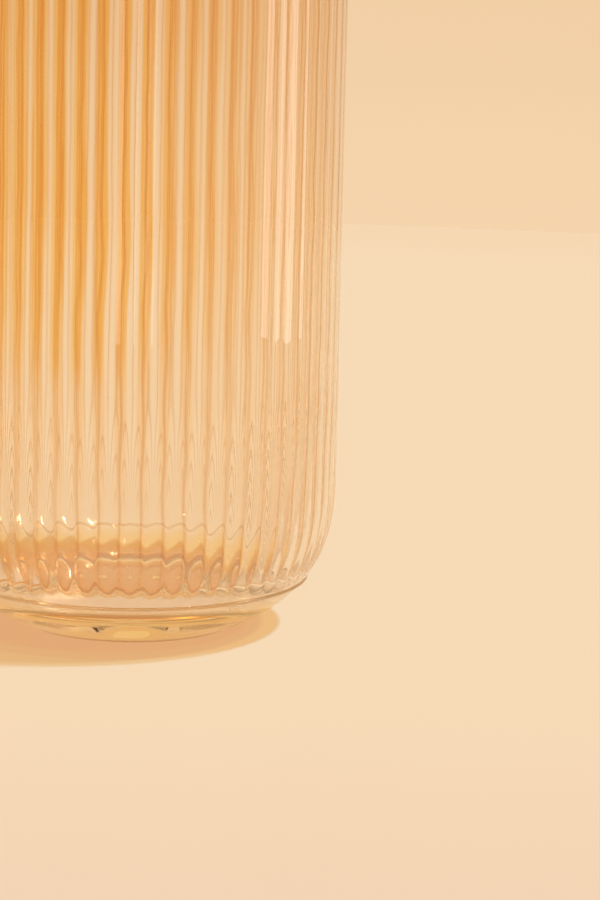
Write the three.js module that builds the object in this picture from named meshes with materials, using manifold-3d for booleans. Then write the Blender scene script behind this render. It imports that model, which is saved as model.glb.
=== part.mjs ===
// Reeded cylindrical vase in clear amber glass, free-standing and open at the top.
// Millimetres, +Z up. The vase rests on z = 0 and its axis is the Z axis.
//
// The pieces are stacked along the axis as the gathers of glass are:
//   rim_lip      fire-polished lip, where the reeds fade out
//   ribbed_wall  cylindrical wall, reeded outside and smooth inside
//   seam_thread  thin thread of glass round the body where the reeds end
//   base_cup     thick smooth bowl under the thread, with the floor of the hollow
//   foot_ring    ground flat ring the vase stands on
//   pontil_pad   polished spot under the hollow of the base

import * as THREE from "three";
import * as BufferGeometryUtils from "three/addons/utils/BufferGeometryUtils.js";
import Module from "manifold-3d";

const wasm = await Module();
wasm.setup();

// Driving dimensions
const BODY_R = 60;            // radius over the crests of the reeds
const HEIGHT = 250;
const WALL = 3.6;             // glass thickness at a crest
const REED_COUNT = 61;
const REED_DEPTH = 0.7;       // crest to valley round the shoulder
const REED_SHARE_UP = 0.28;   // part of that depth left up the straight wall
const REED_FADE_LOW_Z = 14.5; // the reeds start here at nothing
const REED_FULL_Z = 24;       // reach full depth here
const REED_EASE_LOW_Z = 40;   // keep it to here
const REED_EASE_HIGH_Z = 75;  // and are shallow from here up
const FIRST_REED = -Math.PI / 2; // direction of the crest of the first reed

const SHOULDER_TOP_Z = 42.5;  // the straight wall ends and the shoulder begins
const SHOULDER_PULL = 28.7;   // how far the shoulder keeps going straight down
const FOOT_R = 30.9;          // outer edge of the resting ring
const BASE_PULL = 14.1;       // how far the bowl keeps the slope it leaves the foot at
const BASE_SLOPE = THREE.MathUtils.degToRad(23.5);

const CAVITY_R = BODY_R - WALL;
const CAVITY_FLOOR_Z = 12;
const CAVITY_FLAT_R = 31;     // flat part of the floor inside
const CAVITY_BEND_Z = 44;     // the inside wall begins to turn in here
const CAVITY_PULL_DOWN = 24;
const CAVITY_PULL_OUT = 14;

const LIP_Z = 244;            // the lip is fused to the wall here
const LIP_ROUND_R = WALL / 2;

const SEAM_Z = 14.5;          // the wall is fused to the base here
const THREAD_HALF = 0.55;     // half the height of the thread
const THREAD_SEAT_R = 51;     // bottom of the groove the thread lies in
const THREAD_CENTRE_R = 51.8;

const RING_TOP_Z = 1.2;       // the resting ring is fused to the base here
const RING_INNER_R = 27.5;
const RING_THROAT_R = 25.5;   // inner radius of the ring at its top
const PUNT_Z = 2.0;           // highest point of the hollow underneath
const PONTIL_R = 9;
const PONTIL_DEPTH = 0.5;

// Facets
const ROUND_SEGMENTS = 60;
const REED_SEGMENTS = REED_COUNT * 4;
const CURVE_STEPS = 8;
const EASE_STEPS = 3;
const TOOL_MARGIN = 5;        // how far a cutting tool reaches past what it cuts

// Outer and inner curves of the lower body, as radius (x) and height (y)
const outerCurve = new THREE.CubicBezierCurve(
  new THREE.Vector2(FOOT_R, 0),
  new THREE.Vector2(FOOT_R + BASE_PULL * Math.cos(BASE_SLOPE), BASE_PULL * Math.sin(BASE_SLOPE)),
  new THREE.Vector2(BODY_R, SHOULDER_TOP_Z - SHOULDER_PULL),
  new THREE.Vector2(BODY_R, SHOULDER_TOP_Z),
);
const cavityCurve = new THREE.CubicBezierCurve(
  new THREE.Vector2(CAVITY_FLAT_R, CAVITY_FLOOR_Z),
  new THREE.Vector2(CAVITY_FLAT_R + CAVITY_PULL_OUT, CAVITY_FLOOR_Z),
  new THREE.Vector2(CAVITY_R, CAVITY_BEND_Z - CAVITY_PULL_DOWN),
  new THREE.Vector2(CAVITY_R, CAVITY_BEND_Z),
);

// Parameter at which a rising curve passes a height
function curveParameterAt(curve, z) {
  let low = 0;
  let high = 1;
  for (let step = 0; step < 40; step += 1) {
    const middle = (low + high) / 2;
    if (curve.getPoint(middle).y < z) {
      low = middle;
    } else {
      high = middle;
    }
  }
  return (low + high) / 2;
}

// Points of a rising curve between two heights, lowest first
function curveBetween(curve, fromZ, toZ, steps = CURVE_STEPS) {
  const from = curveParameterAt(curve, fromZ);
  const to = curveParameterAt(curve, toZ);
  const points = [];
  for (let step = 0; step <= steps; step += 1) {
    points.push(curve.getPoint(THREE.MathUtils.lerp(from, to, step / steps)));
  }
  return points;
}

// Solid of revolution about Z. The outline runs counter-clockwise in (radius, height).
function turned(outline) {
  const points = outline.map(([radius, z]) => new THREE.Vector2(radius, z));
  const geometry = new THREE.LatheGeometry(points, ROUND_SEGMENTS);
  geometry.rotateX(Math.PI / 2);
  return geometry;
}

// Ring of revolution whose outline closes on itself
function turnedRing(outline) {
  return turned([...outline, outline[0]]);
}

const asPair = (point) => [point.x, point.y];

// How far the surface lies below the crest at an angle: the reeds are rounded bars side by side
function reedDrop(angle) {
  return REED_DEPTH * (1 - Math.abs(Math.cos((REED_COUNT * (angle - FIRST_REED)) / 2)));
}

// Part of their full depth that the reeds have at a height
function reedShare(z) {
  const rise = THREE.MathUtils.smoothstep(z, REED_FADE_LOW_Z, REED_FULL_Z);
  const ease = THREE.MathUtils.smoothstep(z, REED_EASE_LOW_Z, REED_EASE_HIGH_Z);
  return rise * THREE.MathUtils.lerp(1, REED_SHARE_UP, ease);
}

// Closed body made of rings of points, from the lowest ring up. Each level is
// { r, z, reed } with reed from 0 (round) to 1 (full reeds). Both ends are flat.
function reededSolid(levels) {
  const positions = [];
  for (const { r, z, reed } of levels) {
    for (let i = 0; i < REED_SEGMENTS; i += 1) {
      const angle = (2 * Math.PI * i) / REED_SEGMENTS;
      const radius = r - reed * reedDrop(angle);
      positions.push(radius * Math.cos(angle), radius * Math.sin(angle), z);
    }
  }
  const bottomCentre = positions.length / 3;
  positions.push(0, 0, levels[0].z);
  const topCentre = bottomCentre + 1;
  positions.push(0, 0, levels[levels.length - 1].z);

  const index = [];
  const topStart = (levels.length - 1) * REED_SEGMENTS;
  for (let i = 0; i < REED_SEGMENTS; i += 1) {
    const next = (i + 1) % REED_SEGMENTS;
    for (let level = 0; level < levels.length - 1; level += 1) {
      const a = level * REED_SEGMENTS + i;
      const b = level * REED_SEGMENTS + next;
      index.push(a, b, b + REED_SEGMENTS, a, b + REED_SEGMENTS, a + REED_SEGMENTS);
    }
    index.push(bottomCentre, next, i);
    index.push(topCentre, topStart + i, topStart + next);
  }
  const geometry = new THREE.BufferGeometry();
  geometry.setAttribute("position", new THREE.Float32BufferAttribute(positions, 3));
  geometry.setIndex(index);
  return geometry;
}

function toManifold(geometry) {
  const plain = geometry.clone();
  plain.deleteAttribute("normal");
  plain.deleteAttribute("uv");
  const merged = BufferGeometryUtils.mergeVertices(plain, 1e-5);
  return new wasm.Manifold(new wasm.Mesh({
    numProp: 3,
    vertProperties: new Float32Array(merged.attributes.position.array),
    triVerts: new Uint32Array(merged.index.array),
  }));
}

function fromManifold(manifold) {
  const mesh = manifold.getMesh();
  const geometry = new THREE.BufferGeometry();
  geometry.setAttribute("position", new THREE.Float32BufferAttribute(mesh.vertProperties, 3));
  geometry.setIndex(Array.from(mesh.triVerts));
  return geometry;
}

function cut(body, ...tools) {
  return fromManifold(tools.reduce(
    (rest, tool) => rest.subtract(toManifold(tool)),
    toManifold(body),
  ));
}

// The hollow inside, as a solid that runs out of the open top
function cavityTool() {
  return turned([
    [0, CAVITY_FLOOR_Z],
    ...curveBetween(cavityCurve, CAVITY_FLOOR_Z, CAVITY_BEND_Z).map(asPair),
    [CAVITY_R, HEIGHT + TOOL_MARGIN],
    [0, HEIGHT + TOOL_MARGIN],
  ]);
}

// The groove the thread lies in
function threadSeatTool() {
  return turnedRing([
    [THREAD_SEAT_R, SEAM_Z - THREAD_HALF],
    [BODY_R, SEAM_Z - THREAD_HALF],
    [BODY_R, SEAM_Z + THREAD_HALF],
    [THREAD_SEAT_R, SEAM_Z + THREAD_HALF],
  ]);
}

function ribbedWall() {
  const shoulder = curveBetween(outerCurve, SEAM_Z, SHOULDER_TOP_Z).map(asPair);
  const straight = [];
  for (let step = 1; step <= EASE_STEPS; step += 1) {
    straight.push([BODY_R, THREE.MathUtils.lerp(SHOULDER_TOP_Z, REED_EASE_HIGH_Z, step / EASE_STEPS)]);
  }
  const outline = [...shoulder, ...straight, [BODY_R, LIP_Z]];
  const body = reededSolid(outline.map(([r, z]) => ({ r, z, reed: reedShare(z) })));
  return cut(body, cavityTool(), threadSeatTool());
}

// Closed ring: up the outside, over the rounded lip and down the inside
function rimLip() {
  const crownZ = HEIGHT - LIP_ROUND_R;
  const crownR = BODY_R - LIP_ROUND_R;
  const slant = LIP_ROUND_R * Math.SQRT1_2;
  const levels = [
    { r: BODY_R, z: LIP_Z, reed: REED_SHARE_UP },
    { r: BODY_R, z: crownZ, reed: 0 },
    { r: crownR + slant, z: crownZ + slant, reed: 0 },
    { r: crownR, z: HEIGHT, reed: 0 },
    { r: crownR - slant, z: crownZ + slant, reed: 0 },
    { r: CAVITY_R, z: crownZ, reed: 0 },
    { r: CAVITY_R, z: LIP_Z, reed: 0 },
  ];
  const positions = [];
  const index = [];
  for (let i = 0; i < REED_SEGMENTS; i += 1) {
    const angle = (2 * Math.PI * i) / REED_SEGMENTS;
    const next = (i + 1) % REED_SEGMENTS;
    levels.forEach(({ r, z, reed }, level) => {
      const radius = r - reed * reedDrop(angle);
      positions.push(radius * Math.cos(angle), radius * Math.sin(angle), z);
      const above = (level + 1) % levels.length;
      const a = i * levels.length + level;
      const b = next * levels.length + level;
      const c = next * levels.length + above;
      const d = i * levels.length + above;
      index.push(a, b, c, a, c, d);
    });
  }
  const geometry = new THREE.BufferGeometry();
  geometry.setAttribute("position", new THREE.Float32BufferAttribute(positions, 3));
  geometry.setIndex(index);
  return geometry;
}

// Half-round bar let into the groove between wall and base
function seamThread() {
  const roundSteps = 6;
  const outline = [[THREAD_SEAT_R, SEAM_Z - THREAD_HALF]];
  for (let step = 0; step <= roundSteps; step += 1) {
    const angle = -Math.PI / 2 + (Math.PI * step) / roundSteps;
    outline.push([
      THREAD_CENTRE_R + THREAD_HALF * Math.cos(angle),
      SEAM_Z + THREAD_HALF * Math.sin(angle),
    ]);
  }
  outline.push([THREAD_SEAT_R, SEAM_Z + THREAD_HALF]);
  return turnedRing(outline);
}

function baseCup() {
  const puntCurve = new THREE.CubicBezierCurve(
    new THREE.Vector2(PONTIL_R, PUNT_Z),
    new THREE.Vector2(PONTIL_R + 7, PUNT_Z),
    new THREE.Vector2(RING_THROAT_R - 4, RING_TOP_Z + 0.4),
    new THREE.Vector2(RING_THROAT_R, RING_TOP_Z),
  );
  const outside = curveBetween(outerCurve, RING_TOP_Z, SEAM_Z - THREAD_HALF, 6);
  const body = turned([
    [0, PUNT_Z],
    ...puntCurve.getPoints(5).map(asPair),
    ...outside.map(asPair),
    [THREAD_SEAT_R, SEAM_Z - THREAD_HALF],
    [THREAD_SEAT_R, SEAM_Z],
    [0, SEAM_Z],
  ]);
  return cut(body, cavityTool());
}

function footRing() {
  const outside = curveBetween(outerCurve, 0, RING_TOP_Z, 2);
  return turnedRing([
    [RING_INNER_R, 0],
    ...outside.map(asPair),
    [RING_THROAT_R, RING_TOP_Z],
  ]);
}

function pontilPad() {
  const steps = 4;
  const outline = [];
  for (let step = 0; step <= steps; step += 1) {
    const angle = (Math.PI / 2) * (step / steps);
    outline.push([PONTIL_R * Math.sin(angle), PUNT_Z - PONTIL_DEPTH * Math.cos(angle)]);
  }
  outline.push([0, PUNT_Z]);
  return turned(outline);
}

const group = new THREE.Group();
group.name = "vase";

function add(name, geometry, color, roughness) {
  const material = new THREE.MeshStandardMaterial({ color, roughness, metalness: 0 });
  const mesh = new THREE.Mesh(geometry, material);
  mesh.name = name;
  group.add(mesh);
}

add("ribbed_wall", ribbedWall(), 0xf0bd84, 0.08);
add("rim_lip", rimLip(), 0xf3c690, 0.06);
add("seam_thread", seamThread(), 0xd99a58, 0.08);
add("base_cup", baseCup(), 0xe8ab68, 0.06);
add("foot_ring", footRing(), 0xd9a468, 0.3);
add("pontil_pad", pontilPad(), 0xdfa763, 0.12);

export default group;
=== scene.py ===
# Amber glass vase with a reeded wall, standing on a pale peach floor in soft studio light.
# Metres, in the frame of the CAD model: +Z up, the vase stands on z = 0 round the Z axis.
import math
from collections import namedtuple

import bmesh
import bpy
from mathutils import Euler, Matrix, Vector, noise
from mathutils.geometry import interpolate_bezier


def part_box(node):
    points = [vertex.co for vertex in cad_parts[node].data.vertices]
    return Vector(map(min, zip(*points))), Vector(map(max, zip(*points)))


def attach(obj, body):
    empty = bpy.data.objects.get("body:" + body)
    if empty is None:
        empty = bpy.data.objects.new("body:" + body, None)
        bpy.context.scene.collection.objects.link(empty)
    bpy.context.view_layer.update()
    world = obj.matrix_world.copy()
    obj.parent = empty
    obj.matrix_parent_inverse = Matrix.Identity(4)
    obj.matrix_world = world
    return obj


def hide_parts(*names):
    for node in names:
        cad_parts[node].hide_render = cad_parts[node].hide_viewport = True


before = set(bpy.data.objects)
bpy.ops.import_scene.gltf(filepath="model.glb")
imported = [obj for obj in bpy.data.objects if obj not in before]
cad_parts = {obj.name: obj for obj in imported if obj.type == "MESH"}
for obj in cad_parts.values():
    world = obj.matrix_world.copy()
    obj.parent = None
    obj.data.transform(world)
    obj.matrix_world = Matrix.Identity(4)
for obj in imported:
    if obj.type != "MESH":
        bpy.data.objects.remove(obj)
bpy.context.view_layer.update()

# ---------------------------------------------------------------- driving dimensions
WALL_LOW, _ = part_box("ribbed_wall")
LIP_LOW, LIP_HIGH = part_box("rim_lip")
_, RING_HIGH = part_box("foot_ring")
PONTIL_LOW, PONTIL_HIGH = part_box("pontil_pad")
THREAD_LOW, THREAD_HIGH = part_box("seam_thread")

BODY_R = -WALL_LOW.y         # over the crests of the reeds
SEAM_Z = WALL_LOW.z          # the wall is fused to the base here
LIP_Z = LIP_LOW.z            # and the lip to the wall here
TOP_Z = LIP_HIGH.z
RING_TOP_Z = RING_HIGH.z
PUNT_Z = PONTIL_HIGH.z       # top of the hollow underneath
PONTIL_R = PONTIL_HIGH.x
PONTIL_DEPTH = PONTIL_HIGH.z - PONTIL_LOW.z
THREAD_HALF = (THREAD_HIGH.z - THREAD_LOW.z) / 2
THREAD_CENTRE_R = THREAD_HIGH.x - THREAD_HALF

WALL = 0.0036                 # glass thickness at a crest
REEDS = 61
REED_DEPTH = 0.0007           # crest to valley round the shoulder
REED_SOFTNESS = 0.30          # rounding of the valleys between reeds
REED_FADE_LOW_Z = 0.0145      # the reeds start here at nothing
REED_FULL_Z = 0.024           # reach full depth here
REED_EASE_LOW_Z = 0.040       # keep it to here
REED_EASE_HIGH_Z = 0.075      # and are shallow from here up
REED_UPPER = 0.28             # share of their depth left there
WAVE_DEPTH = 0.00008          # unevenness of the blown wall
WAVE_WIDTH = 0.011            # size of the uneven patches round the wall
WAVE_LENGTH = 0.045           # and along it

SHOULDER_TOP_Z = 0.0425       # the straight wall ends and the shoulder begins
SHOULDER_PULL = 0.0287        # how far the shoulder keeps going straight down
FOOT_R = 0.0309               # outer edge of the resting ring
BASE_PULL = 0.0141            # how far the bowl keeps the slope it leaves the foot at
BASE_SLOPE = math.radians(23.5)

CAVITY_R = BODY_R - WALL
CAVITY_FLOOR_Z = 0.012
CAVITY_FLAT_R = 0.031         # flat part of the floor inside
CAVITY_BEND_Z = 0.044         # the inside wall begins to turn in here
CAVITY_PULL_DOWN = 0.024
CAVITY_PULL_OUT = 0.014

THREAD_SEAT_R = 0.051         # bottom of the groove the thread lies in
RING_INNER_R = 0.0275
RING_THROAT_R = 0.0255        # inner radius of the resting ring at its top
PUNT_PULL_OUT = 0.007         # how far the punt stays level round the pontil spot
PUNT_PULL_IN = 0.004          # and how it comes down to the ring
PUNT_PULL_UP = 0.0004

# Fineness of the surfaces
STEPS_PER_REED = 14
SEGMENTS = REEDS * STEPS_PER_REED
CURVE_STEPS = 240
SHOULDER_STEPS = 48
STRAIGHT_STEPS = 60
CAVITY_STEPS = 36
LIP_STEPS = 10
ROUND_STEPS = 14
BASE_STEPS = 30
FLOOR_STEPS = 24
RING_STEPS = 8
PUNT_STEPS = 16
DOME_STEPS = 16

GLASS, JOINT = 0, 1           # material slots of every glass piece


# ---------------------------------------------------------------- profiles
def bezier(points, steps):
    """Points (radius, height) along a cubic Bezier curve."""
    corners = [Vector((r, z, 0.0)) for r, z in points]
    return [(p.x, p.y) for p in interpolate_bezier(*corners, steps + 1)]


OUTER_CURVE = bezier(
    [
        (FOOT_R, 0.0),
        (FOOT_R + BASE_PULL * math.cos(BASE_SLOPE), BASE_PULL * math.sin(BASE_SLOPE)),
        (BODY_R, SHOULDER_TOP_Z - SHOULDER_PULL),
        (BODY_R, SHOULDER_TOP_Z),
    ],
    CURVE_STEPS,
)
CAVITY_CURVE = bezier(
    [
        (CAVITY_FLAT_R, CAVITY_FLOOR_Z),
        (CAVITY_FLAT_R + CAVITY_PULL_OUT, CAVITY_FLOOR_Z),
        (CAVITY_R, CAVITY_BEND_Z - CAVITY_PULL_DOWN),
        (CAVITY_R, CAVITY_BEND_Z),
    ],
    CURVE_STEPS,
)


def radius_at(curve, z):
    """Radius of a rising curve at a height."""
    if z <= curve[0][1]:
        return curve[0][0]
    for (r0, z0), (r1, z1) in zip(curve, curve[1:]):
        if z0 <= z <= z1:
            return r0 + (r1 - r0) * (z - z0) / max(z1 - z0, 1e-12)
    return curve[-1][0]


def between(curve, low, high, steps):
    """Evenly spread points of a rising curve from one height to another."""
    inside = [p for p in curve if low < p[1] < high]
    ends = [(radius_at(curve, low), low)] + inside + [(radius_at(curve, high), high)]
    picks = [round(i * (len(ends) - 1) / steps) for i in range(steps + 1)]
    return [ends[i] for i in picks]


def smoothstep(x, low, high):
    """A smooth rise from 0 at low to 1 at high."""
    t = min(max((x - low) / (high - low), 0.0), 1.0)
    return t * t * (3 - 2 * t)


def reed_weight(z):
    """Share of their full depth that the reeds of the wall have at a height."""
    rise = smoothstep(z, REED_FADE_LOW_Z, REED_FULL_Z)
    ease = smoothstep(z, REED_EASE_LOW_Z, REED_EASE_HIGH_Z)
    return rise * (1 - ease * (1 - REED_UPPER))


def reed_drop(angle):
    """How far the glass lies below the crests: rounded reeds that meet in narrow valleys."""
    wave = math.cos(REEDS * (angle + math.pi / 2) / 2)
    return REED_DEPTH * (1 - math.sqrt(wave * wave + REED_SOFTNESS**2)) / (1 - REED_SOFTNESS)


def unevenness(angle, radius, z, side):
    """Slow waves in the surface of blown glass. side tells the outside from the inside."""
    place = Vector((
        radius * math.cos(angle) / WAVE_WIDTH,
        radius * math.sin(angle) / WAVE_WIDTH,
        z / WAVE_LENGTH + 40.0 * side,
    ))
    return WAVE_DEPTH * noise.noise(place)


# ---------------------------------------------------------------- turned pieces
Ring = namedtuple("Ring", "radius z reed side slot crease")
OUTSIDE, INSIDE, PLAIN = 1, -1, 0


def surface(points, side=PLAIN, slot=GLASS, reed=None):
    """Rings of one smooth surface through (radius, height) points, starting with a crease."""
    rings = []
    for i, (radius, z) in enumerate(points):
        rings.append(Ring(radius, z, reed(z) if reed else 0.0, side, slot, i == 0))
    return rings


def ending_at_joint(rings):
    """The last ring also starts a fused face."""
    return rings[:-1] + [rings[-1]._replace(slot=JOINT, crease=True)]


def turn(name, profile):
    """Closed body from rings that run counter-clockwise round its section.

    A ring's slot is the material of the band to the next ring. A radius of nought is one point
    on the axis, where the section starts and ends.
    """
    bm = bmesh.new()
    rings = []
    for ring in profile:
        if ring.radius == 0:
            rings.append([bm.verts.new((0, 0, ring.z))])
            continue
        verts = []
        for i in range(SEGMENTS):
            angle = 2 * math.pi * i / SEGMENTS
            r = ring.radius - ring.reed * reed_drop(angle)
            if ring.side != PLAIN:
                r += unevenness(angle, ring.radius, ring.z, ring.side) - WAVE_DEPTH
            verts.append(bm.verts.new((r * math.cos(angle), r * math.sin(angle), ring.z)))
        rings.append(verts)

    closed = profile[0].radius != 0
    for level in range(len(profile) if closed else len(profile) - 1):
        lower, upper = rings[level], rings[(level + 1) % len(rings)]
        for i in range(SEGMENTS):
            j = (i + 1) % SEGMENTS
            if len(lower) == 1:
                corners = (lower[0], upper[j], upper[i])
            elif len(upper) == 1:
                corners = (lower[i], lower[j], upper[0])
            else:
                corners = (lower[i], lower[j], upper[j], upper[i])
            face = bm.faces.new(corners)
            face.material_index = profile[level].slot
            face.smooth = True
    for ring, verts in zip(profile, rings):
        if ring.crease and len(verts) > 1:
            for i in range(SEGMENTS):
                bm.edges.get((verts[i], verts[(i + 1) % SEGMENTS])).smooth = False
    mesh = bpy.data.meshes.new(name)
    bm.to_mesh(mesh)
    bm.free()
    piece = bpy.data.objects.new(name, mesh)
    bpy.context.scene.collection.objects.link(piece)
    return piece


def spread(start, end, steps):
    return [start + (end - start) * i / steps for i in range(steps + 1)]


def arc(radius, z, size, start, end):
    """Points (radius, height) along an arc of a circle of this size."""
    angles = spread(start, end, ROUND_STEPS)
    return [(radius + size * math.cos(angle), z + size * math.sin(angle)) for angle in angles]


def wall_piece():
    thread_top = SEAM_Z + THREAD_HALF
    shoulder = between(OUTER_CURVE, thread_top, SHOULDER_TOP_Z, SHOULDER_STEPS)
    straight = [(BODY_R, z) for z in spread(SHOULDER_TOP_Z, LIP_Z, STRAIGHT_STEPS)[1:]]
    outside = surface(shoulder + straight, OUTSIDE, reed=reed_weight)
    upper = [(CAVITY_R, z) for z in spread(LIP_Z, CAVITY_BEND_Z, STRAIGHT_STEPS)[:-1]]
    lower = between(CAVITY_CURVE, SEAM_Z, CAVITY_BEND_Z, CAVITY_STEPS)[::-1]
    inside = surface(upper + lower, INSIDE)
    seat = surface([(THREAD_SEAT_R, SEAM_Z), (THREAD_SEAT_R, thread_top)], slot=JOINT)
    return turn("vase_ribbed_wall", ending_at_joint(outside) + ending_at_joint(inside) + seat)


def lip_piece():
    round_r = WALL / 2
    crown_z = TOP_Z - round_r
    crown_r = BODY_R - round_r

    def fade(z):
        return REED_UPPER * (1 - smoothstep(z, LIP_Z, crown_z))

    rise = surface([(BODY_R, z) for z in spread(LIP_Z, crown_z, LIP_STEPS)], OUTSIDE, reed=fade)
    crown = surface(arc(crown_r, crown_z, round_r, 0, math.pi)[1:-1], OUTSIDE)
    crown[0] = crown[0]._replace(crease=False)
    fall = surface([(CAVITY_R, z) for z in spread(crown_z, LIP_Z, LIP_STEPS)], INSIDE)
    fall[0] = fall[0]._replace(crease=False)
    return turn("vase_rim_lip", rise + crown + ending_at_joint(fall))


def thread_piece():
    low, high = SEAM_Z - THREAD_HALF, SEAM_Z + THREAD_HALF
    outside = surface(arc(THREAD_CENTRE_R, SEAM_Z, THREAD_HALF, -math.pi / 2, math.pi / 2))
    seat = surface([(THREAD_SEAT_R, high), (THREAD_SEAT_R, low)], slot=JOINT)
    return turn("vase_seam_thread", ending_at_joint(outside) + seat)


def base_piece():
    punt = bezier(
        [
            (PONTIL_R, PUNT_Z),
            (PONTIL_R + PUNT_PULL_OUT, PUNT_Z),
            (RING_THROAT_R - PUNT_PULL_IN, RING_TOP_Z + PUNT_PULL_UP),
            (RING_THROAT_R, RING_TOP_Z),
        ],
        PUNT_STEPS,
    )
    bowl = between(OUTER_CURVE, RING_TOP_Z, SEAM_Z - THREAD_HALF, BASE_STEPS)
    seat = [(THREAD_SEAT_R, SEAM_Z - THREAD_HALF), (THREAD_SEAT_R, SEAM_Z)]
    floor = between(CAVITY_CURVE, CAVITY_FLOOR_Z, SEAM_Z, FLOOR_STEPS)[::-1] + [(0.0, CAVITY_FLOOR_Z)]
    return turn(
        "vase_base_cup",
        surface([(0.0, PUNT_Z)], slot=JOINT)
        + ending_at_joint(surface(punt))
        + ending_at_joint(surface(bowl, OUTSIDE))
        + surface(seat, slot=JOINT)
        + surface(floor, INSIDE),
    )


def ring_piece():
    ground = surface([(RING_INNER_R, 0.0)])
    outside = surface(between(OUTER_CURVE, 0.0, RING_TOP_Z, RING_STEPS), OUTSIDE)
    throat = surface([(RING_THROAT_R, RING_TOP_Z)])
    return turn("vase_foot_ring", ground + ending_at_joint(outside) + throat)


def pontil_piece():
    dome = []
    for radius in spread(0.0, PONTIL_R, DOME_STEPS):
        swell = (1 + math.cos(math.pi * radius / PONTIL_R)) / 2
        dome.append((radius, PUNT_Z - PONTIL_DEPTH * swell))
    return turn("vase_pontil_pad", ending_at_joint(surface(dome)) + surface([(0.0, PUNT_Z)]))


# ---------------------------------------------------------------- materials
GLASS_IOR = 1.5
FACING_BLEND = 0.25
WALL_SHADOW = (0.925, 0.80, 0.58)    # colours of the light that the glass lets through to the floor
BASE_SHADOW = (0.90, 0.62, 0.24)
CLOUD_SCALE = 18.0            # faint clouds in every glass
CLOUD_TINT = (0.985, 0.95, 0.90)
RIPPLE_SCALE = 60.0           # fine ripples in its surface
RIPPLE_DEPTH = 0.00002

# Painted refraction: the amber bands paint into the wall's colour the warm surroundings that the
# reeds bend into view, deepest toward one side and fading edge on.
DRIFT_SCALE = 22.0            # how finely the bands wander from the reeds
DRIFT = 1.6                   # and how far: a whole reed is 2 pi
BAND_VARIETY = 1.2            # how much the bands differ in width
BAND_EDGE = (0.62, -0.25)     # cosine round a reed, 1 on its crest, where a band starts and is full
BAND_RISE = (0.075, 0.110)    # the bands deepen between these heights
BAND_RISE_WANDER = 0.06       # how much those heights vary
BAND_LOW = 0.45               # share of their depth below them
FOOT_RISE = (0.040, 0.070)    # and they thin out again between these
FOOT_SHARE = 0.3
BAND_FACING = (0.40, 0.15)    # the bands fade where the wall is seen edge on
PAINTED_REFRACTION_TINT = (0.97, 0.68, 0.22)
DEEP_SIDE = math.radians(-135)    # direction in which the bands are deepest
DEEP_RANGE = (-0.25, 1.0)     # cosine from it where they start to deepen and are full
BACK_SHARE = 0.25             # share of their depth on the far side

# Painted refraction lines: thin dark lines painted along the reed valleys in place of the edges the
# reeds bend into view.
LINE_SCALE = 3 * DRIFT_SCALE  # thin lines stray from the valleys between the reeds
LINE_WANDER = 1.6
LINE_EDGE = (-0.78, -1.0)
LINE_RISE = (0.014, 0.034)    # they come in between these heights
LINE_FACING = (0.05, 0.35)    # and are strongest where the wall is seen edge on
LINE_FACE_ON = 0.4
PAINTED_LINE_TINT = (0.74, 0.43, 0.14)

BOWL_DEEP_Z = 0.010           # the bowl's own tint is full from here down
BOWL_TINT = (0.999, 0.87, 0.50)


class Graph:
    """The nodes of a material or world, with short ways to add the usual ones."""

    def __init__(self, tree):
        self.nodes = tree.nodes
        self.links = tree.links
        self.nodes.clear()

    def put(self, socket, value):
        """Feed a socket with another node's output, a colour or a number."""
        if isinstance(value, bpy.types.NodeSocket):
            self.links.new(value, socket)
        elif isinstance(value, tuple):
            socket.default_value = (*value, 1)
        else:
            socket.default_value = value

    def node(self, kind, **settings):
        """A node whose sockets are set by name, with _ for each space."""
        node = self.nodes.new(kind)
        for name, value in settings.items():
            self.put(node.inputs[name.replace("_", " ")], value)
        return node

    def surface(self, kind, shader):
        self.links.new(shader, self.nodes.new(kind).inputs["Surface"])

    def math(self, operation, *values):
        node = self.nodes.new("ShaderNodeMath")
        node.operation = operation
        for socket, value in zip(node.inputs, values):
            self.put(socket, value)
        return node.outputs[0]

    def product(self, first, *others):
        for other in others:
            first = self.math("MULTIPLY", first, other)
        return first

    def lifted(self, value, least):
        """A value from 0 to 1, moved up to run from least to 1."""
        return self.math("MULTIPLY_ADD", value, 1 - least, least)

    def ramp(self, value, low, high):
        """A smooth step from 0 at low to 1 at high."""
        node = self.node("ShaderNodeMapRange", Value=value, From_Min=low, From_Max=high)
        node.interpolation_type = "SMOOTHSTEP"
        return node.outputs["Result"]

    def mix(self, factor, a, b, blend="MIX"):
        node = self.nodes.new("ShaderNodeMix")
        node.data_type = "RGBA"
        node.blend_type = blend
        for name, value in (("Factor", factor), ("A", a), ("B", b)):
            self.put(node.inputs[name], value)
        return node.outputs["Result"]

    def deepen(self, colour, factor, tint):
        """The colour, multiplied by a tint as far as a factor says."""
        return self.mix(factor, colour, tint, "MULTIPLY")

    def noise(self, place, scale, detail):
        node = self.node("ShaderNodeTexNoise", Vector=place, Scale=scale, Detail=detail)
        return node.outputs["Fac"]

    def place(self, kind="Object"):
        return self.nodes.new("ShaderNodeTexCoord").outputs[kind]

    def axes(self, place):
        split = self.node("ShaderNodeSeparateXYZ", Vector=place)
        return [split.outputs[name] for name in "XYZ"]

    def radius(self, x, y):
        return self.math("SQRT", self.math("MULTIPLY_ADD", x, x, self.math("MULTIPLY", y, y)))

    def facing(self):
        """0 where the surface is seen face on, 1 where it is seen edge on."""
        return self.node("ShaderNodeLayerWeight", Blend=FACING_BLEND).outputs["Facing"]


def new_material(name):
    material = bpy.data.materials.new(name)
    material.use_nodes = True
    return material, Graph(material.node_tree)


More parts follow.
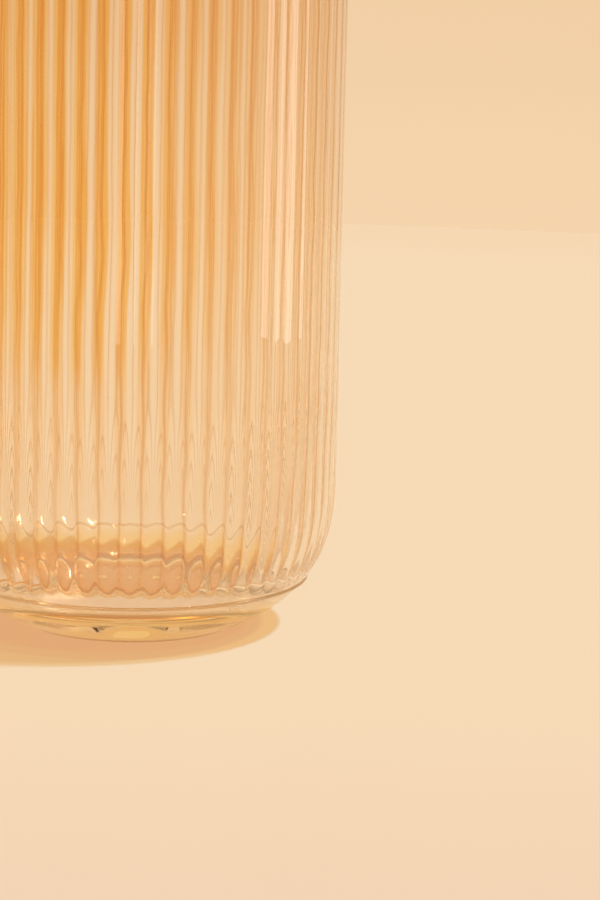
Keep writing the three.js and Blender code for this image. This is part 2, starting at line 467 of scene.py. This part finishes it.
def painted_refraction_depth(graph, axes, phase, slack):
    """Painted refraction: amber bands between the reeds that paint the warm surroundings seen through
    them, deeper up the wall and to one side.
    """
    x, y, z = axes
    valley = graph.math("MULTIPLY_ADD", slack, BAND_VARIETY, graph.math("COSINE", phase))
    rise = graph.ramp(graph.math("MULTIPLY_ADD", slack, BAND_RISE_WANDER, z), *BAND_RISE)
    across = graph.math("MULTIPLY", x, math.cos(DEEP_SIDE) / BODY_R)
    toward = graph.math("MULTIPLY_ADD", y, math.sin(DEEP_SIDE) / BODY_R, across)
    return graph.product(
        graph.ramp(valley, *BAND_EDGE),
        graph.lifted(rise, BAND_LOW),
        graph.lifted(graph.ramp(z, *FOOT_RISE), FOOT_SHARE),
        graph.lifted(graph.ramp(toward, *DEEP_RANGE), BACK_SHARE),
        graph.ramp(graph.facing(), *BAND_FACING),
    )


def painted_line_depth(graph, place, z, phase):
    """Painted refraction lines: thin dark lines that stray about the valleys between the reeds,
    strongest where the wall is seen edge on.
    """
    grain = graph.noise(place, LINE_SCALE, 0.0)
    stray = graph.math("MULTIPLY_ADD", grain, LINE_WANDER, -LINE_WANDER / 2)
    valley = graph.math("COSINE", graph.math("ADD", phase, stray))
    return graph.product(
        graph.ramp(valley, *LINE_EDGE),
        graph.lifted(graph.ramp(graph.facing(), *LINE_FACING), LINE_FACE_ON),
        graph.ramp(z, *LINE_RISE),
    )


# Painted refraction: amber bands and thin dark lines about the reeds, both painted into the wall's
# colour.
def painted_refraction_colour(graph, place, colour):
    axes = x, y, z = graph.axes(place)
    slack = graph.math("SUBTRACT", graph.noise(place, DRIFT_SCALE, 1.0), 0.5)
    start = graph.math("ADD", graph.math("ARCTAN2", y, x), math.pi / 2)
    phase = graph.math("MULTIPLY_ADD", start, REEDS, graph.math("MULTIPLY", slack, DRIFT))
    colour = graph.deepen(colour, painted_refraction_depth(graph, axes, phase, slack), PAINTED_REFRACTION_TINT)
    return graph.deepen(colour, painted_line_depth(graph, place, z, phase), PAINTED_LINE_TINT)


def bowl_colour(graph, place, colour):
    """Deeper on the outside of the thick bowl, where the glass is seen through its greatest depth."""
    x, y, z = graph.axes(place)
    outer = graph.ramp(graph.radius(x, y), RING_INNER_R, FOOT_R)
    under = graph.ramp(z, SEAM_Z, BOWL_DEEP_Z)
    return graph.deepen(colour, graph.product(outer, under), BOWL_TINT)


def ripples(graph, place):
    height = graph.noise(place, RIPPLE_SCALE, 1.0)
    bump = graph.node("ShaderNodeBump", Strength=1.0, Distance=RIPPLE_DEPTH, Height=height)
    return bump.outputs["Normal"]


def clear_to_shadows(graph, shader, shadow_tint):
    """Shadow rays pass through and take the tint. All other rays meet the glass."""
    path = graph.node("ShaderNodeLightPath")
    clear = graph.node("ShaderNodeBsdfTransparent", Color=shadow_tint)
    either = graph.node("ShaderNodeMixShader", Fac=path.outputs["Is Shadow Ray"])
    graph.put(either.inputs[1], shader)
    graph.put(either.inputs[2], clear.outputs["BSDF"])
    return either.outputs["Shader"]


def glass_material(name, face_tint, edge_tint, shadow_tint, roughness=0.0, thick_tint_and_painted_refraction=None):
    """Clear tinted glass: deeper where it is seen edge on, with the faint waves of blown glass."""
    material, graph = new_material(name)
    place = graph.place()
    colour = graph.mix(graph.facing(), face_tint, edge_tint)
    colour = graph.deepen(colour, graph.noise(place, CLOUD_SCALE, 2.0), CLOUD_TINT)
    # On the wall this adds painted refraction bands and lines; on the base cup it adds the deeper
    # tint of the thick bowl.
    if thick_tint_and_painted_refraction:
        colour = thick_tint_and_painted_refraction(graph, place, colour)
    shader = graph.node(
        "ShaderNodeBsdfPrincipled", Base_Color=colour, Transmission_Weight=1.0, IOR=GLASS_IOR,
        Roughness=roughness, Normal=ripples(graph, place),
    )
    glass = clear_to_shadows(graph, shader.outputs["BSDF"], shadow_tint)
    graph.surface("ShaderNodeOutputMaterial", glass)
    return material


def joint_material():
    """The faces where two pieces are fused: one glass runs into the other, so nothing shows."""
    material, graph = new_material("fused_joint")
    clear = graph.node("ShaderNodeBsdfTransparent")
    graph.surface("ShaderNodeOutputMaterial", clear.outputs["BSDF"])
    return material


# ---------------------------------------------------------------- the vase
JOINT_MATERIAL = joint_material()
# The wall's glass carries the painted refraction bands and lines.
WALL_GLASS = glass_material(
    "amber_glass", (0.999, 0.970, 0.920), (0.965, 0.84, 0.68), WALL_SHADOW, thick_tint_and_painted_refraction=painted_refraction_colour
)
BASE_GLASS = glass_material(
    "thick_amber_glass", (0.998, 0.935, 0.82), (0.99, 0.90, 0.74), BASE_SHADOW, thick_tint_and_painted_refraction=bowl_colour
)
# Painted shadow: the ground foot ring is tinted dark brown to paint the contact shadow where it meets
# the floor; its roughness is the real ground finish.
FOOT_GLASS_CONTACT_SHADOW = glass_material(
    "ground_glass", (0.58, 0.34, 0.16), (0.42, 0.22, 0.10), BASE_SHADOW, roughness=0.25
)
# Painted shade: the seam thread's dark tint, darkest edge on, paints the dark lines along the groove;
# the real thread is the same glass as the wall.
SEAM_GLASS_GROOVE_SHADE = glass_material(
    "seam_glass", (0.90, 0.66, 0.40), (0.16, 0.06, 0.02), WALL_SHADOW
)
POLISHED_GLASS = glass_material(
    "polished_glass", (0.998, 0.935, 0.82), (0.99, 0.90, 0.74), BASE_SHADOW, roughness=0.02
)

PIECES = [
    (wall_piece, "ribbed_wall", "amber_glass", WALL_GLASS),
    (lip_piece, "rim_lip", "amber_glass", WALL_GLASS),
    (thread_piece, "seam_thread", "amber_glass", SEAM_GLASS_GROOVE_SHADE),
    (base_piece, "base_cup", "thick_amber_glass", BASE_GLASS),
    (ring_piece, "foot_ring", "ground_glass", FOOT_GLASS_CONTACT_SHADOW),
    (pontil_piece, "pontil_pad", "polished_glass", POLISHED_GLASS),
]
for build, node, slot, material in PIECES:
    piece = build()
    piece.data.materials.append(material)
    piece.data.materials.append(JOINT_MATERIAL)
    piece.visible_diffuse = False    # else the glass would darken the floor's soft light
    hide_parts(node)
    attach(piece, "root")


# ---------------------------------------------------------------- floor
FLOOR_R = 1.06
FLOOR_SIDES = 96
PALE_PAPER = (0.93, 0.86, 0.76)
# Painted shade: the paper is darker toward -Y, the camera's side, and at the rim, painted in as a
# falloff of the light.
NEAR_PAPER_SHADE = (0.90, 0.81, 0.745)     # toward -Y
RIM_PAPER_SHADE = (0.925, 0.835, 0.725)    # at the rim
NEAR_SHADE_RANGE = (-0.06, -0.30)
RIM_SHADE_RANGE = (0.85, 1.06)


def floor_paper_painted_falloff():
    material, graph = new_material("floor_paper_painted_falloff")
    x, y, _ = graph.axes(graph.place())
    # Painted shade: darker toward -Y and at the rim.
    colour = graph.mix(graph.ramp(y, *NEAR_SHADE_RANGE), PALE_PAPER, NEAR_PAPER_SHADE)
    colour = graph.mix(graph.ramp(graph.radius(x, y), *RIM_SHADE_RANGE), colour, RIM_PAPER_SHADE)
    paper = graph.node("ShaderNodeBsdfDiffuse", Color=colour)
    graph.surface("ShaderNodeOutputMaterial", paper.outputs["BSDF"])
    return material


def floor():
    rim = []
    for i in range(FLOOR_SIDES):
        angle = 2 * math.pi * i / FLOOR_SIDES
        rim.append((FLOOR_R * math.cos(angle), FLOOR_R * math.sin(angle), 0))
    mesh = bpy.data.meshes.new("floor")
    mesh.from_pydata(rim, [], [tuple(range(FLOOR_SIDES))])
    mesh.materials.append(floor_paper_painted_falloff())
    plane = bpy.data.objects.new("floor", mesh)
    bpy.context.scene.collection.objects.link(plane)


floor()


# ---------------------------------------------------------------- surroundings
# The camera, the glass and the floor each get their own: the backdrop that is seen past the vase,
# the light that shows in and through the glass, and the soft light that fills the shadows.
BACKDROP_HIGH = (0.885, 0.62, 0.375)
BACKDROP_LOW = (0.915, 0.66, 0.415)
BACKDROP_RANGE = (-0.11, -0.03)
PALE_LIGHT = (0.82, 0.56, 0.345)
LIT_FLOOR = (0.92, 0.68, 0.44)
LIGHT_RANGE = (-0.13, 0.0)
SOFT_LIGHT = (0.45, 0.355, 0.235)


def studio():
    world = bpy.data.worlds.new("studio")
    bpy.context.scene.world = world
    world.use_nodes = True
    graph = Graph(world.node_tree)
    height = graph.axes(graph.place("Generated"))[2]
    path = graph.node("ShaderNodeLightPath")
    glass_ray = graph.math(
        "MAXIMUM", path.outputs["Is Transmission Ray"], path.outputs["Is Glossy Ray"]
    )
    light = graph.mix(graph.ramp(height, *LIGHT_RANGE), LIT_FLOOR, PALE_LIGHT)
    backdrop = graph.mix(graph.ramp(height, *BACKDROP_RANGE), BACKDROP_LOW, BACKDROP_HIGH)
    seen = graph.mix(glass_ray, SOFT_LIGHT, light)
    seen = graph.mix(path.outputs["Is Camera Ray"], seen, backdrop)
    background = graph.node("ShaderNodeBackground", Color=seen)
    graph.surface("ShaderNodeOutputWorld", background.outputs["Background"])


studio()

# ---------------------------------------------------------------- key light
KEY_SPREAD = math.radians(4)
KEY_STRENGTH = 1.97
KEY_COLOUR = (1.0, 0.845, 0.70)
KEY_ELEVATION = math.radians(61)

key = bpy.data.lights.new("key", "SUN")
key.angle = KEY_SPREAD
key.energy = KEY_STRENGTH
key.color = KEY_COLOUR
key_object = bpy.data.objects.new("key", key)
key_object.rotation_euler = Euler((0, math.pi / 2 - KEY_ELEVATION, 0))
bpy.context.scene.collection.objects.link(key_object)


# ---------------------------------------------------------------- softboxes
# Tall pale cards that only show as reflections on the glass: direction, width, strength.
SOFTBOXES = [
    (math.radians(-88), 0.05, 3.0),
    (math.radians(-8), 0.20, 4.0),
]
SOFTBOX_AWAY = 0.45
SOFTBOX_LOW, SOFTBOX_HIGH = 0.03, 0.60
SOFTBOX_COLOUR = (1.0, 0.93, 0.84)
SOFTBOX_FADE = (0.5, 0.2)     # share of the width from the middle where it is dark and full


def softbox_glow(name, strength):
    """Brightest along the middle of the card."""
    material, graph = new_material(name)
    x = graph.axes(graph.place("Generated"))[0]
    off_middle = graph.math("ABSOLUTE", graph.math("SUBTRACT", x, 0.5))
    fade = graph.ramp(off_middle, *SOFTBOX_FADE)
    glow = graph.node(
        "ShaderNodeEmission", Color=SOFTBOX_COLOUR, Strength=graph.math("MULTIPLY", fade, strength)
    )
    graph.surface("ShaderNodeOutputMaterial", glow.outputs["Emission"])
    return material


def softbox(name, direction, width, strength):
    """An upright card facing the vase."""
    half = Vector((-math.sin(direction), math.cos(direction), 0)) * width / 2
    middle = Vector((math.cos(direction), math.sin(direction), 0)) * SOFTBOX_AWAY
    low, high = Vector((0, 0, SOFTBOX_LOW)), Vector((0, 0, SOFTBOX_HIGH))
    corners = [middle - half + low, middle + half + low, middle + half + high, middle - half + high]
    mesh = bpy.data.meshes.new("softbox")
    mesh.from_pydata(corners, [], [(0, 1, 2, 3)])
    mesh.materials.append(softbox_glow(name, strength))
    card = bpy.data.objects.new(name, mesh)
    bpy.context.scene.collection.objects.link(card)
    card.visible_camera = False
    card.visible_diffuse = False
    card.visible_transmission = False
    card.visible_shadow = False


for number, (direction, width, strength) in enumerate(SOFTBOXES):
    softbox(f"softbox_{number}", direction, width, strength)


# ---------------------------------------------------------------- camera
CAMERA_DISTANCE = 0.969
CAMERA_HEIGHT_ANGLE = math.radians(13.32)
CAMERA_YAW = math.radians(2.99)
CAMERA_PITCH = math.radians(10.34)
CAMERA_ROLL = math.radians(1.39)
CAMERA_LENS = 131.1
SENSOR_WIDTH = 36.0

camera = bpy.data.cameras.new("camera")
camera.lens = CAMERA_LENS
camera.sensor_width = SENSOR_WIDTH
camera_object = bpy.data.objects.new("camera", camera)
bpy.context.scene.collection.objects.link(camera_object)
camera_object.location = (
    0.0,
    -CAMERA_DISTANCE * math.cos(CAMERA_HEIGHT_ANGLE),
    CAMERA_DISTANCE * math.sin(CAMERA_HEIGHT_ANGLE),
)
aim = Euler((math.pi / 2 - CAMERA_PITCH, 0.0, -CAMERA_YAW)).to_matrix()
camera_object.rotation_euler = (aim @ Matrix.Rotation(CAMERA_ROLL, 3, "Z")).to_euler()
bpy.context.scene.camera = camera_object

# ---------------------------------------------------------------- light paths
GLASS_BOUNCES = 64            # light crosses many faces of the reeds, front and back
CLEAR_BOUNCES = 128

scene = bpy.context.scene
scene.view_settings.view_transform = "Standard"
scene.cycles.max_bounces = GLASS_BOUNCES
scene.cycles.transmission_bounces = GLASS_BOUNCES
scene.cycles.glossy_bounces = GLASS_BOUNCES
scene.cycles.transparent_max_bounces = CLEAR_BOUNCES
scene.cycles.sample_clamp_indirect = 0    # keeps the bright glints of the sun
